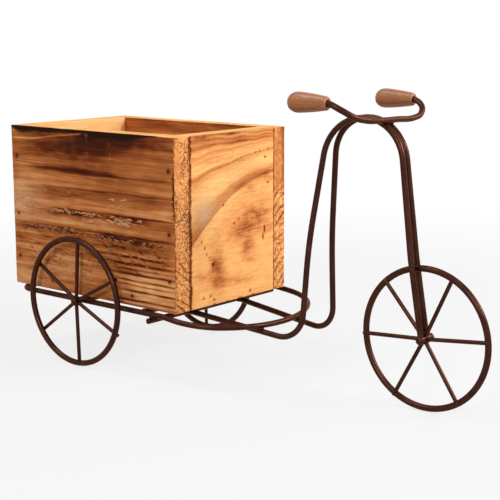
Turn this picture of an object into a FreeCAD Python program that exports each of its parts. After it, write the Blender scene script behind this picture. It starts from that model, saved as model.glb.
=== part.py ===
# Tricycle plant stand: an open wooden box on a bent rod frame with three spoked wheels.
# Millimetres. +X points forward, +Y to the stand's left, +Z up; the origin is on the ground
# under the middle of the stand.
import FreeCAD
import Part
import Sketcher
import math
import os
import re

os.makedirs("parts", exist_ok=True)

doc = FreeCAD.newDocument("tricycle_plant_stand")
sheet = doc.addObject("Spreadsheet::Sheet", "Sizes")
Vector = FreeCAD.Vector

# Driving dimensions. A name ending in _ahead is measured forward from the rear axle,
# and one ending in _half sideways from the middle plane.
driving = {
    "wheelbase": 318.5,
    "rear_overhang": 100.0,
    "rod_radius": 2.5,
    "weld_gap": 0.3,
    "wheel_radius": 60.0,
    "rim_rod_radius": 2.65,
    "spoke_radius": 1.7,
    "rear_spoke_lap": 1.5,
    "front_spoke_lap": 3.05,
    "spoke_end": 0.9,
    "spoke_inset": 0.5,
    "front_rim_shift": 0.3,
    "hub_radius": 4.0,
    "hub_length": 5.4,
    "pin_radius": 2.0,
    "running_gap": 0.05,
    "end_play": 0.4,
    "stub_shoulder": 2.5,
    "head_radius": 3.0,
    "head_height": 1.5,
    "head_dome": 3.75,
    "box_length": 214.0,
    "box_width": 150.0,
    "box_height": 153.0,
    "box_bottom": 62.0,
    "right_side_thick": 20.0,
    "left_side_thick": 16.0,
    "end_thick": 18.0,
    "floor_thick": 12.0,
    "floor_rise": 3.0,
    "board_arris": 0.8,
    "nail_radius": 1.0,
    "nail_length": 38.0,
    "nail_point": 2.0,
    "nail_head_radius": 1.4,
    "nail_head_depth": 0.9,
    "nail_edge": 7.0,
    "nail_low": 27.5,
    "nail_middle": 69.0,
    "nail_high": 124.0,
    "floor_nail_step": 53.5,
    "rail_half": 79.5,
    "loop_rear_behind": 88.0,
    "loop_corner": 14.0,
    "loop_butt_half": 0.1,
    "nose_ahead": 115.0,
    "nose_side_radius": 48.0,
    "nose_tip_radius": 104.0,
    "nose_tip_slack": 1.5,
    "droop_ahead": 101.0,
    "droop_angle": 5.9,
    "droop_bend": 60.0,
    "front_bar_ahead": 77.0,
    "leg_bar_ahead": 90.0,
    "leg_bar_stub": 5.5,
    "leg_end_half": 33.5,
    "foot_ahead": 210.4,
    "foot_half": 23.0,
    "foot_height": 43.3,
    "foot_bend": 22.0,
    "knee_ahead": 212.8,
    "knee_half": 16.2,
    "knee_height": 128.0,
    "knee_bend": 500.0,
    "arch_rear_ahead": 225.6,
    "arch_rear_half": 5.0,
    "arch_front_ahead": 293.0,
    "arch_front_half": 4.4,
    "arch_height": 234.4,
    "arch_bend": 36.5,
    "fork_knee_ahead": 307.1,
    "fork_knee_height": 125.0,
    "fork_bend": 200.0,
    "fork_span": 17.0,
    "left_fork_back": 2.2,
    "eye_radius": 3.5,
    "eye_thick": 5.4,
    "right_horn_ahead": 283.5,
    "right_horn_half": 50.0,
    "right_horn_height": 236.6,
    "left_horn_ahead": 278.6,
    "left_horn_half": 47.5,
    "left_horn_height": 232.0,
    "horn_bend": 10.0,
    "grip_half": 60.5,
    "right_grip_height": 249.0,
    "left_grip_height": 246.4,
    "grip_front_ahead": 264.3,
    "grip_run_out": 4.0,
    "grip_bend": 6.5,
    "grip_length": 38.5,
    "grip_radius": 8.1,
    "grip_neck_radius": 5.3,
    "grip_tip_radius": 3.0,
    "grip_dome": 10.0,
    "grip_dome_radius": 8.9,
    "grip_barrel": 110.0,
    "grip_lip": 1.5,
    "grip_fit": 0.03,
    "grip_bore_depth": 29.0,
}
# Spokes are set by eye, so their spacing is uneven: degrees up from straight ahead
rear_spokes = [27, 86, 150, 216, 272, 336]
front_spokes = [6.3, 64.9, 131.8, 184, 241.5, 303.8]
for name, angles in (("rear", rear_spokes), ("front", front_spokes)):
    driving.update(("%s_spoke_%d" % (name, number), angle) for number, angle in enumerate(angles, start=1))

for row, (alias, value) in enumerate(driving.items(), start=1):
    sheet.set("A%d" % row, alias)
    sheet.set("B%d" % row, str(value))
    sheet.setAlias("B%d" % row, alias)
doc.recompute()


def size(alias):
    return float(sheet.get(alias))


def total(terms):
    # Adds up a sum of names such as "grip_length - grip_lip"; an empty text is zero
    amount = 0.0
    sign = 1
    for word in terms.split():
        if word in driving:
            amount += sign * size(word)
        sign = -1 if word == "-" else 1
    return amount


def formula(text):
    # The same names as an expression that reads the sheet
    return re.sub(r"[a-z]\w*", lambda word: "Sizes." + word.group(), text)


def bind(thing, **expressions):
    for prop, text in expressions.items():
        thing.setExpression(prop, formula(text))


# Places worked out from the driving dimensions
rear_axle_x = (size("rear_overhang") - size("wheelbase") - size("wheel_radius")) / 2
front_axle_x = rear_axle_x + size("wheelbase")
axle_z = size("wheel_radius")
box_rear_x = rear_axle_x - size("rear_overhang")
rod_radius = size("rod_radius")
rail_z = size("box_bottom") - rod_radius
leg_bar_z = rail_z - 2 * rod_radius
fork_half = (size("fork_span") - size("eye_thick")) / 2
along_y = FreeCAD.Rotation(Vector(1, 0, 0), -90)
touching = 1e-6

nodes = []


def ahead(alias):
    return rear_axle_x + size(alias)


def finish(thing, label):
    # A finished sub-part carries the name of its file
    thing.Label = label
    nodes.append(thing)
    return thing


# Rods: a path of straight runs joined by tangent bends, swept by a round section
def bent_wire(corners, bends):
    edges = []
    last = corners[0]
    for before, corner, after, bend in zip(corners, corners[1:], corners[2:], bends):
        back = (before - corner).normalize()
        onward = (after - corner).normalize()
        half_angle = back.getAngle(onward) / 2
        run = bend / math.tan(half_angle)
        middle = (back + onward).normalize()
        start = corner + back * run
        end = corner + onward * run
        crown = corner + middle * (bend / math.sin(half_angle) - bend)
        if last.distanceToPoint(start) > touching:
            edges.append(Part.makeLine(last, start))
        edges.append(Part.Arc(start, crown, end).toShape())
        last = end
    if last.distanceToPoint(corners[-1]) > touching:
        edges.append(Part.makeLine(last, corners[-1]))
    return Part.Wire(edges)


def swept_rod(name, corners, bends):
    path = doc.addObject("Part::Feature", name + "_path")
    path.Shape = bent_wire(corners, bends)
    section = doc.addObject("Part::Circle", name + "_section")
    bind(section, Radius="rod_radius")
    facing = FreeCAD.Rotation(Vector(0, 0, 1), corners[1] - corners[0])
    section.Placement = FreeCAD.Placement(corners[0], facing)
    rod = doc.addObject("Part::Sweep", name)
    rod.Sections = [section]
    rod.Spine = (path, [])
    rod.Solid = True
    rod.Frenet = False
    return rod


def cross_bar(label, x, z, half_length):
    bar = doc.addObject("Part::Cylinder", label)
    bind(bar, Radius="rod_radius", Height="2 * (%s)" % half_length)
    bar.Placement = FreeCAD.Placement(Vector(x, -total(half_length), z), along_y)
    return finish(bar, label)


def mirrored(corners, side):
    return [Vector(corner.x, side * corner.y, corner.z) for corner in corners]


# Base loop: rails beside the box, rounded and drooping nose, and a rear run where the ends butt
def base_loop():
    half = size("rail_half")
    side_radius = size("nose_side_radius")
    tip_radius = size("nose_tip_radius")
    tip_angle = math.asin((half - side_radius) / (tip_radius - side_radius))
    side_turn = math.pi / 2 - tip_angle
    side_run = side_radius * math.tan(side_turn / 2)
    tip_run = tip_radius * math.tan(tip_angle)
    shoulder_x = ahead("nose_ahead") + side_run
    tip_x = shoulder_x + (side_run + tip_run) * math.cos(side_turn)
    slope = math.tan(math.radians(size("droop_angle")))
    rear_x = rear_axle_x - size("loop_rear_behind")
    droop_x = ahead("droop_ahead")

    def droop(x):
        return rail_z - (x - droop_x) * slope

    near = [
        Vector(rear_x, -size("loop_butt_half"), rail_z),
        Vector(rear_x, -half, rail_z),
        Vector(droop_x, -half, rail_z),
        Vector(shoulder_x, -half, droop(shoulder_x)),
    ]
    tip = Vector(tip_x, 0, droop(tip_x))
    far = mirrored(reversed(near), -1)
    near_bends = [size("loop_corner"), size("droop_bend"), side_radius]
    bends = near_bends + [tip_radius - size("nose_tip_slack")] + near_bends[::-1]
    return finish(swept_rod("base_loop", near + [tip] + far, bends), "base_loop")


# Leg rods: foot under the nose, leg, arch and fork leg in one rod, with an eye at the axle
def leg_rod(label, side):
    start_x = ahead("leg_bar_ahead") + rod_radius + size("weld_gap")
    corners = [
        Vector(start_x, size("leg_end_half"), leg_bar_z),
        Vector(ahead("foot_ahead"), size("foot_half"), size("foot_height")),
        Vector(ahead("knee_ahead"), size("knee_half"), size("knee_height")),
        Vector(ahead("arch_rear_ahead"), size("arch_rear_half"), size("arch_height")),
        Vector(ahead("arch_front_ahead"), size("arch_front_half"), size("arch_height")),
        Vector(ahead("fork_knee_ahead"), fork_half, size("fork_knee_height")),
        Vector(front_axle_x, fork_half, axle_z),
    ]
    if side > 0:
        for corner in corners[-3:]:
            corner.x -= size("left_fork_back")
    drop = (corners[-1] - corners[-2]).normalize()
    corners[-1] = corners[-1] - drop * (size("eye_radius") / 2)
    bends = [size(bend) for bend in ("foot_bend", "knee_bend", "arch_bend", "arch_bend", "fork_bend")]
    rod = swept_rod(label + "_bent", mirrored(corners, side), bends)
    eye = doc.addObject("Part::Cylinder", label + "_eye")
    bind(eye, Radius="eye_radius", Height="eye_thick")
    eye_y = side * fork_half - size("eye_thick") / 2
    eye.Placement = FreeCAD.Placement(Vector(front_axle_x, eye_y, axle_z), along_y)
    joined = doc.addObject("Part::Fuse", label + "_joined")
    joined.Base = rod
    joined.Tool = eye
    bore = doc.addObject("Part::Cylinder", label + "_bore")
    bind(bore, Radius="pin_radius", Height="4 * eye_thick")
    bore_y = side * fork_half - 2 * size("eye_thick")
    bore.Placement = FreeCAD.Placement(Vector(front_axle_x, bore_y, axle_z), along_y)
    drilled = doc.addObject("Part::Cut", label)
    drilled.Base = joined
    drilled.Tool = bore
    return finish(drilled, label)


# Handlebar: a straight bar across the front of the arch, horns rising from its ends and turned back
# into the grips; the left side hangs a little lower
def bar_side(name, side):
    grip_x = ahead("grip_front_ahead")
    grip_y = side * size("grip_half")
    grip_z = size(name + "_grip_height")
    return [
        Vector(grip_x - size("grip_bore_depth"), grip_y, grip_z),
        Vector(grip_x + size("grip_run_out"), grip_y, grip_z),
        Vector(ahead(name + "_horn_ahead"), side * size(name + "_horn_half"), size(name + "_horn_height")),
    ]


def handlebar():
    corners = bar_side("right", -1) + bar_side("left", 1)[::-1]
    bends = [size(bend) for bend in ("grip_bend", "horn_bend", "horn_bend", "grip_bend")]
    return finish(swept_rod("handlebar", corners, bends), "handlebar")


# Sketch helpers for the bodies
def origin_plane(body, role):
    return next(plane for plane in body.Origin.OriginFeatures if plane.Role == role)


def new_body(label):
    body = doc.addObject("PartDesign::Body", label)
    sketch = body.newObject("Sketcher::SketchObject", label + "_sketch")
    sketch.AttachmentSupport = [(origin_plane(body, "XY_Plane"), "")]
    sketch.MapMode = "FlatFace"
    return body, sketch


def held(sketch, text, kind, *ends):
    # A measured constraint that follows the sheet
    number = sketch.addConstraint(Sketcher.Constraint(kind, *ends, total(text)))
    sketch.setExpression("Constraints[%d]" % number, formula(text))


# Boards: a rectangle padded to its thickness, with every arris eased
def board(label, length, width, height, place):
    body, sketch = new_body(label + "_blank")
    across = Vector(total(length), 0, 0)
    up = Vector(0, total(width), 0)
    corners = [Vector(0, 0, 0), across, across + up, up]
    for start, end in zip(corners, corners[1:] + corners[:1]):
        sketch.addGeometry(Part.LineSegment(start, end))
    for side in range(4):
        sketch.addConstraint(Sketcher.Constraint("Coincident", side, 2, (side + 1) % 4, 1))
    for side, kind in enumerate(["Horizontal", "Vertical", "Horizontal", "Vertical"]):
        sketch.addConstraint(Sketcher.Constraint(kind, side))
    sketch.addConstraint(Sketcher.Constraint("Coincident", 0, 1, -1, 1))
    held(sketch, length, "DistanceX", 0, 1, 0, 2)
    held(sketch, width, "DistanceY", 1, 1, 1, 2)
    pad = body.newObject("PartDesign::Pad", label + "_pad")
    pad.Profile = sketch
    bind(pad, Length=height)
    doc.recompute()
    ease = body.newObject("PartDesign::Fillet", label + "_ease")
    ease.Base = (pad, ["Edge%d" % number for number in range(1, 13)])
    bind(ease, Radius="board_arris")
    body.Placement = FreeCAD.Placement(place, FreeCAD.Rotation())
    return body


# Nails: one turned shape, set in groups along each side board
def nail_shape():
    head_radius = size("nail_head_radius")
    shank_radius = size("nail_radius")
    head_depth = size("nail_head_depth")
    length = size("nail_length")
    profile = Part.makePolygon([
        Vector(0, 0, 0),
        Vector(head_radius, 0, 0),
        Vector(head_radius, 0, head_depth),
        Vector(shank_radius, 0, head_depth),
        Vector(shank_radius, 0, length - size("nail_point")),
        Vector(0, 0, length),
        Vector(0, 0, 0),
    ])
    return Part.Face(profile).revolve(Vector(0, 0, 0), Vector(0, 0, 1), 360)


def side_nails(label, side):
    length = size("box_length")
    inset = size("nail_edge")
    step = size("floor_nail_step")
    floor_middle = size("floor_rise") + size("floor_thick") / 2
    heights = [size("nail_low"), size("nail_middle"), size("nail_high")]
    spots = [(x, z) for x in (inset, length - inset) for z in heights]
    spots += [(length / 2 + x, floor_middle) for x in (-step, step)]
    inward = FreeCAD.Rotation(Vector(1, 0, 0), side * 90)
    nail = nail_shape()
    nails = []
    for x, z in spots:
        head = Vector(box_rear_x + x, side * size("box_width") / 2, size("box_bottom") + z)
        nails.append(nail.transformGeometry(FreeCAD.Placement(head, inward).toMatrix()))
    group = doc.addObject("Part::Feature", label)
    group.Shape = Part.makeCompound(nails)
    return finish(group, label)


def nailed(label, blank, nail_groups):
    piece = blank
    for number, group in enumerate(nail_groups, start=1):
        cut = doc.addObject("Part::Cut", "%s_cut%d" % (label, number))
        cut.Base = piece
        cut.Tool = group
        piece = cut
    return finish(piece, label)


# Box: two long side boards nailed over the ends of the front, the back and the floor
def box_planter():
    right_nails = side_nails("right_side_nails", -1)
    left_nails = side_nails("left_side_nails", 1)
    both = [right_nails, left_nails]
    half = size("box_width") / 2
    bottom = size("box_bottom")
    inner_y = size("right_side_thick") - half
    inner_width = "box_width - right_side_thick - left_side_thick"
    inner_length = "box_length - end_thick - end_thick"
    back_x = box_rear_x + size("end_thick")
    front_x = back_x + total(inner_length)
    left_y = half - size("left_side_thick")
    right = board("right_side_board", "box_length", "right_side_thick", "box_height",
                  Vector(box_rear_x, -half, bottom))
    left = board("left_side_board", "box_length", "left_side_thick", "box_height",
                 Vector(box_rear_x, left_y, bottom))
    front = board("front_board", "end_thick", inner_width, "box_height",
                  Vector(front_x, inner_y, bottom))
    back = board("back_board", "end_thick", inner_width, "box_height",
                 Vector(box_rear_x, inner_y, bottom))
    floor = board("floor_board", inner_length, inner_width, "floor_thick",
                  Vector(back_x, inner_y, bottom + size("floor_rise")))
    nailed("right_side_board", right, [right_nails])
    nailed("left_side_board", left, [left_nails])
    nailed("front_board", front, both)
    nailed("back_board", back, both)
    nailed("floor_board", floor, both)


# Turned pieces: a half profile revolved about the body's X axis. Each corner is a pair of sums,
# along the axis and out from it, with the name of a radius where an outward arc starts there.
def outward_arc(start, end, radius):
    chord = end - start
    outward = Vector(-chord.y, chord.x, 0).normalize()
    rise = radius - math.sqrt(radius ** 2 - (chord.Length / 2) ** 2)
    return Part.Arc(start, (start + end) * 0.5 + outward * rise, end)


def hold_corner(sketch, edge, end, along, out):
    # A corner is held by both sums, or kept on an axis where its sum is empty
    for kind, axis, text in (("DistanceX", -2, along), ("DistanceY", -1, out)):
        if text:
            held(sketch, text, kind, -1, 1, edge, end)
        else:
            sketch.addConstraint(Sketcher.Constraint("PointOnObject", edge, end, axis))


def turned(label, corners, place, turn):
    body, sketch = new_body(label)
    spots = [Vector(total(along), total(out), 0) for along, out, arc in corners]
    for (along, out, arc), start, end in zip(corners, spots, spots[1:] + spots[:1]):
        edge = outward_arc(start, end, size(arc)) if arc else Part.LineSegment(start, end)
        sketch.addGeometry(edge)

    def end_at(edge, spot):
        return 1 if sketch.getPoint(edge, 1).distanceToPoint(spot) < touching else 2

    for number, (along, out, arc) in enumerate(corners):
        spot = spots[number]
        before = (number - 1) % len(corners)
        end = end_at(number, spot)
        joint = Sketcher.Constraint("Coincident", before, end_at(before, spot), number, end)
        sketch.addConstraint(joint)
        hold_corner(sketch, number, end, along, out)
        if arc:
            held(sketch, arc, "Radius", number)
    spin = body.newObject("PartDesign::Revolution", label + "_turned")
    spin.Profile = sketch
    spin.ReferenceAxis = (sketch, ["H_Axis"])
    spin.Angle = 360
    body.Placement = FreeCAD.Placement(place, turn)
    return finish(body, label)


def grip(name, side):
    bore = "rod_radius + grip_fit"
    bottom = "grip_length - grip_bore_depth"
    corners = [
        ("", "", None),
        ("", "grip_tip_radius", "grip_dome_radius"),
        ("grip_dome", "grip_radius", "grip_barrel"),
        ("grip_length - grip_lip", "grip_neck_radius", "grip_lip"),
        ("grip_length", "grip_neck_radius - grip_lip", None),
        ("grip_length", bore, None),
        (bottom, bore, None),
        (bottom, "", None),
    ]
    start_x = ahead("grip_front_ahead") - size("grip_length")
    place = Vector(start_x, side * size("grip_half"), size(name + "_grip_height"))
    return turned(name + "_grip", corners, place, FreeCAD.Rotation())


def front_axle():
    far_head = "head_height + fork_span"
    corners = [
        ("", "", "head_dome"),
        ("head_height", "head_radius", None),
        ("head_height", "pin_radius", None),
        (far_head, "pin_radius", None),
        (far_head, "head_radius", "head_dome"),
        (far_head + " + head_height", "", None),
    ]
    start = Vector(front_axle_x, -total("head_height") - size("fork_span") / 2, axle_z)
    return turned("front_axle", corners, start, FreeCAD.Rotation(Vector(0, 0, 1), 90))


def stub_axle(label, side):
    pin_end = "stub_shoulder + end_play + hub_length + end_play"
    corners = [
        ("", "", None),
        ("", "head_radius", None),
        ("stub_shoulder", "head_radius", None),
        ("stub_shoulder", "pin_radius", None),
        (pin_end, "pin_radius", None),
        (pin_end, "head_radius", "head_dome"),
        (pin_end + " + head_height", "", None),
    ]
    start = Vector(rear_axle_x, side * total("rail_half + rod_radius"), axle_z)
    return turned(label, corners, start, FreeCAD.Rotation(Vector(0, 0, 1), side * 90))


# Wheels: a round rim, a bored hub and six spokes whose ends are coped to lie on the rim's side
def wheel(name, axle_x, hub_y, spoke_y, rim_y, set_of):
    rim = doc.addObject("Part::Torus", name + "_rim")
    bind(rim, Radius1="wheel_radius - rim_rod_radius", Radius2="rim_rod_radius")
    rim.Placement = FreeCAD.Placement(Vector(axle_x, rim_y, axle_z), along_y)
    finish(rim, name + "_rim")
    hub_start = Vector(axle_x, hub_y - size("hub_length") / 2, axle_z)
    barrel = doc.addObject("Part::Cylinder", name + "_barrel")
    bind(barrel, Radius="hub_radius", Height="hub_length")
    barrel.Placement = FreeCAD.Placement(hub_start, along_y)
    bore = doc.addObject("Part::Cylinder", name + "_bore")
    bind(bore, Radius="pin_radius + running_gap", Height="hub_length")
    bore.Placement = FreeCAD.Placement(hub_start, along_y)
    hub = doc.addObject("Part::Cut", name + "_hub")
    hub.Base = barrel
    hub.Tool = bore
    finish(hub, name + "_hub")
    seats = doc.addObject("Part::Fuse", name + "_seats")
    seats.Base = rim
    seats.Tool = barrel
    for number in range(6):
        label = "%s_spoke_%d" % (name, number + 1)
        angle = math.radians(size("%s_spoke_%d" % (set_of, number + 1)))
        outward = Vector(math.cos(angle), 0, math.sin(angle))
        bar = doc.addObject("Part::Cylinder", label + "_bar")
        bind(bar, Radius="spoke_radius", Height="wheel_radius - spoke_end")
        facing = FreeCAD.Rotation(Vector(0, 0, 1), outward)
        bar.Placement = FreeCAD.Placement(Vector(axle_x, spoke_y, axle_z), facing)
        spoke = doc.addObject("Part::Cut", label)
        spoke.Base = bar
        spoke.Tool = seats
        finish(spoke, label)


def wheels():
    hub_inner_y = total("rail_half + rod_radius + stub_shoulder + end_play")
    hub_y = hub_inner_y + size("hub_length") / 2
    spoke_y = hub_inner_y + total("spoke_inset + spoke_radius")
    rim_y = spoke_y + total("rim_rod_radius + spoke_radius - rear_spoke_lap")
    wheel("right_rear", rear_axle_x, -hub_y, -spoke_y, -rim_y, "rear")
    wheel("left_rear", rear_axle_x, hub_y, spoke_y, rim_y, "rear")
    rim_y = size("front_rim_shift")
    spoke_y = rim_y - total("rim_rod_radius + spoke_radius - front_spoke_lap")
    wheel("front", front_axle_x, 0, spoke_y, rim_y, "front")


box_planter()
base_loop()
cross_bar("front_support_bar", ahead("front_bar_ahead"), rail_z, "rail_half - rod_radius")
cross_bar("rear_support_bar", rear_axle_x, rail_z, "rail_half - rod_radius")
cross_bar("leg_cross_bar", ahead("leg_bar_ahead"), leg_bar_z, "rail_half + leg_bar_stub")
leg_rod("right_leg_rod", -1)
leg_rod("left_leg_rod", 1)
handlebar()
grip("right", -1)
grip("left", 1)
front_axle()
stub_axle("right_stub_axle", -1)
stub_axle("left_stub_axle", 1)
wheels()
doc.recompute()

for thing in doc.Objects:
    if "Invalid" in thing.State or "Error" in thing.State:
        raise RuntimeError("%s did not build: %s" % (thing.Label, thing.State))
for node in nodes:
    if node.Shape.isNull() or not node.Shape.isValid():
        raise RuntimeError("%s has no valid shape" % node.Label)
    node.Shape.exportStep("parts/%s.step" % node.Label)
    print(node.Label, len(node.Shape.Solids), round(node.Shape.Volume, 1))
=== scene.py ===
from math import cos, pi, radians, sin, tau

import bmesh
import bpy
import numpy as np
from mathutils import Matrix, Vector


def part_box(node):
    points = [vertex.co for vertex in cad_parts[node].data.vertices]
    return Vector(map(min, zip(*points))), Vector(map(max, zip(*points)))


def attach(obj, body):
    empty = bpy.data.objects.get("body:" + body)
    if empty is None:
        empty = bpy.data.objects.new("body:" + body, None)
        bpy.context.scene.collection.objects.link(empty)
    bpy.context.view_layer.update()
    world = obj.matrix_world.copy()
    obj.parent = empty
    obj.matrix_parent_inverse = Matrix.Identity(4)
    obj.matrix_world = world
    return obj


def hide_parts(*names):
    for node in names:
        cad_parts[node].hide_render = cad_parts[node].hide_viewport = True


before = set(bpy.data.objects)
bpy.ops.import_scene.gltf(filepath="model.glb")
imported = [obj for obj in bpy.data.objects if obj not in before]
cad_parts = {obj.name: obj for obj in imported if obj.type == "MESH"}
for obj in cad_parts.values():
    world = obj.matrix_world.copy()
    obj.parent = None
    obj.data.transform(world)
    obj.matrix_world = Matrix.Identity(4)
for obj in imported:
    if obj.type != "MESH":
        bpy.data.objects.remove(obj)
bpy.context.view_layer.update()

scene = bpy.context.scene
scene.view_settings.view_transform = "Standard"
mm = 0.001
print("frame loaded:", len(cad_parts), "nodes")


def addObject(name, data):
    item = bpy.data.objects.new(name, data)
    scene.collection.objects.link(item)
    return item


def addValues(mesh, key, numbers):
    layer = mesh.attributes.new(key, "FLOAT", "POINT")
    layer.data.foreach_set("value", np.array(numbers, np.float32))


# camera: millimetres for the lens, metres for the place, degrees for the rest
cameraSet = {
    "lens": 88.57,
    "sensor": 36,
    "place": (0.69194, -0.82183, 0.31115),
    "turn": 40.289,
    "tilt": 10.534,
    "roll": -0.111,
}


def makeCamera(s):
    data = bpy.data.cameras.new("camera")
    data.lens = s["lens"]
    data.sensor_width = s["sensor"]
    camera = addObject("camera", data)
    turn = Matrix.Rotation(radians(s["turn"]), 4, "Z") @ Matrix.Rotation(radians(90 - s["tilt"]), 4, "X")
    camera.matrix_world = Matrix.Translation(s["place"]) @ turn @ Matrix.Rotation(radians(s["roll"]), 4, "Z")
    scene.camera = camera


makeCamera(cameraSet)
print("camera set")


# small helpers for node trees; a feed is a link or a plain value
def isLink(value):
    return isinstance(value, bpy.types.NodeSocket)


def feed(item, feeds):
    for key, value in feeds.items():
        if isLink(value):
            item.id_data.links.new(value, item.inputs[key])
        else:
            item.inputs[key].default_value = value


def put(tree, kind, feeds, **settings):
    item = tree.nodes.new(kind)
    for key, value in settings.items():
        setattr(item, key, value)
    feed(item, feeds)
    return item.outputs


# the helpers from here to bumped work in the tree of the link that they are given
def maths(operation, a, b, clamp=False):
    tree = a.id_data if isLink(a) else b.id_data
    return put(tree, "ShaderNodeMath", {0: a, 1: b}, operation=operation, use_clamp=clamp)[0]


def plus(a, b, clamp=False):
    return maths("ADD", a, b, clamp)


def minus(a, b):
    return maths("SUBTRACT", a, b)


def times(a, b, clamp=False):
    return maths("MULTIPLY", a, b, clamp)


def spread(value, low, high, newLow=0.0, newHigh=1.0):
    feeds = {"Value": value, "From Min": low, "From Max": high, "To Min": newLow, "To Max": newHigh}
    return put(value.id_data, "ShaderNodeMapRange", feeds, interpolation_type="SMOOTHSTEP")[0]


def sized(vector, size):
    return put(vector.id_data, "ShaderNodeVectorMath", {0: vector, "Scale": size}, operation="SCALE")[0]


def pushed(vector, by, amount):
    feeds = {0: by, 1: amount, 2: vector}
    return put(vector.id_data, "ShaderNodeVectorMath", feeds, operation="MULTIPLY_ADD")[0]


def clouds(vector, scale, detail, roughness=0.5):
    feeds = {"Vector": vector, "Scale": scale, "Detail": detail, "Roughness": roughness}
    return put(vector.id_data, "ShaderNodeTexNoise", feeds)


def stretched(vector, scale):
    return put(vector.id_data, "ShaderNodeMapping", {"Vector": vector, "Scale": scale})[0]


def laidOver(factor, under, colour):
    return put(factor.id_data, "ShaderNodeMix", {0: factor, 6: under, 7: (*colour, 1)}, data_type="RGBA")[2]


def ramp(value, stops):
    item = value.id_data.nodes.new("ShaderNodeValToRGB")
    feed(item, {"Fac": value})
    colours = item.color_ramp.elements
    while len(colours) < len(stops):
        colours.new(0.5)
    for element, (spot, colour) in zip(colours, stops):
        element.position = spot
        element.color = (*colour, 1)
    return item.outputs["Color"]


def bumped(height, strength, distance):
    feeds = {"Strength": strength, "Distance": distance, "Height": height}
    return put(height.id_data, "ShaderNodeBump", feeds)[0]


def vertexValue(tree, name):
    return put(tree, "ShaderNodeAttribute", {}, attribute_name=name)["Fac"]


def addSocket(tree, way, kind, label, value=None):
    socket = tree.interface.new_socket(label, in_out=way, socket_type="NodeSocket" + kind)
    if value is not None:
        socket.default_value = value


# a shader group takes a vector and some sizes, and gives plain values
def newGroup(name, inputs, outputs):
    tree = bpy.data.node_groups.new(name, "ShaderNodeTree")
    addSocket(tree, "INPUT", "Vector", "Vector")
    for label, value in inputs.items():
        addSocket(tree, "INPUT", "Float", label, value)
    for label in outputs:
        addSocket(tree, "OUTPUT", "Float", label)
    return tree, tree.nodes.new("NodeGroupInput").outputs, tree.nodes.new("NodeGroupOutput")


def useGroup(tree, group, feeds):
    return put(tree, "ShaderNodeGroup", feeds, node_tree=group)


def newMaterial(name):
    material = bpy.data.materials.new(name)
    material.use_nodes = True
    tree = material.node_tree
    place = put(tree, "ShaderNodeTexCoord", {})["Object"]
    return material, tree, tree.nodes["Principled BSDF"], place


# what every skin has: a colour, a roughness that follows one value, a bump and a dull shine
def dress(shader, s, colour, worn, height):
    feed(shader, {
        "Base Color": colour,
        "Roughness": spread(worn, 0.0, 1.0, *s["rough"]),
        "Normal": bumped(height, *s["bump"]),
        "Specular IOR Level": s["specular"],
    })


# fibres of the wood: long streaks, fine hairs and short dark flecks, all running along the vector's X
fibreSet = {
    "drift": 22.0, "push": (0.004, 0.004, 0.004),
    "streak": (10, 260, 260), "hair": (45, 1500, 1500), "fleck": (160, 900, 900),   # finer across the grain
    "fleckLimit": 0.86, "fleckEdge": 0.06,
}


def makeFibreGroup(s):
    tree, take, give = newGroup("fibreGrain", {"Size": 1.0, "Fleck": 0.5}, ("Streak", "Hair", "Fleck"))
    scaled = sized(take["Vector"], take["Size"])
    bent = pushed(scaled, clouds(scaled, s["drift"], 1.0)["Color"], s["push"])
    streak = clouds(stretched(bent, s["streak"]), 1.0, 3.0, 0.6)[0]
    hair = clouds(stretched(bent, s["hair"]), 1.0, 2.0)[0]
    fleck = clouds(stretched(bent, s["fleck"]), 1.0, 1.0)[0]
    limit = minus(s["fleckLimit"], times(take["Fleck"], 0.25))
    feed(give, {
        "Streak": spread(streak, 0.32, 0.68),
        "Hair": spread(hair, 0.3, 0.7),
        "Fleck": spread(fleck, limit, plus(limit, s["fleckEdge"])),
    })
    return tree


# end grain: sawn pores, a coarse grit and slanting growth lines
poreSet = {
    "bend": 55.0, "push": (0.0, 0.009, 0.009), "patch": 95.0,
    "pore": (300, 300, 640), "poreReach": (0.2, 0.62), "line": 50.0, "grit": 520.0,
}


def makePoreGroup(s):
    tree, take, give = newGroup("endPores", {"Lean": 0.6}, ("Pore", "Line", "Grit"))
    turned = put(tree, "ShaderNodeVectorRotate", {"Vector": take["Vector"], "Angle": take["Lean"]},
                 rotation_type="X_AXIS")[0]
    bent = pushed(turned, clouds(turned, s["bend"], 3.0)["Color"], s["push"])
    cells = put(tree, "ShaderNodeTexVoronoi",
                {"Vector": stretched(bent, s["pore"]), "Scale": 1.0, "Randomness": 1.0})["Distance"]
    patch = clouds(take["Vector"], s["patch"], 3.0)[0]
    reach = spread(patch, 0.32, 0.6, *s["poreReach"])
    broken = spread(patch, 0.36, 0.6, 0.25, 1.0)
    rows = put(tree, "ShaderNodeTexWave",
               {"Vector": bent, "Scale": s["line"], "Distortion": 2.2, "Detail": 3.0, "Detail Scale": 3.0},
               wave_type="BANDS", bands_direction="Z")["Fac"]
    feed(give, {
        "Pore": spread(cells, reach, times(reach, 0.5)),
        "Line": times(spread(rows, 0.6, 0.98), broken),
        "Grit": spread(clouds(bent, s["grit"], 3.0)[0], 0.3, 0.7),
    })
    return tree


# mottling of a sprayed or oxidised metal skin
mottleSet = {"cloud": 90.0, "speck": 900.0, "peel": 420.0}


def makeSkinGroup(s):
    tree, take, give = newGroup("skinMottle", {"Size": 1.0}, ("Cloud", "Speck", "Height"))
    scaled = sized(take["Vector"], take["Size"])
    cloud = clouds(scaled, s["cloud"], 4.0, 0.6)[0]
    speck = clouds(scaled, s["speck"], 2.0)[0]
    peel = clouds(scaled, s["peel"], 2.0)[0]
    feed(give, {
        "Cloud": spread(cloud, 0.3, 0.7),
        "Speck": spread(speck, 0.62, 0.74),
        "Height": plus(peel, times(speck, 0.4)),
    })
    return tree


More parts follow.
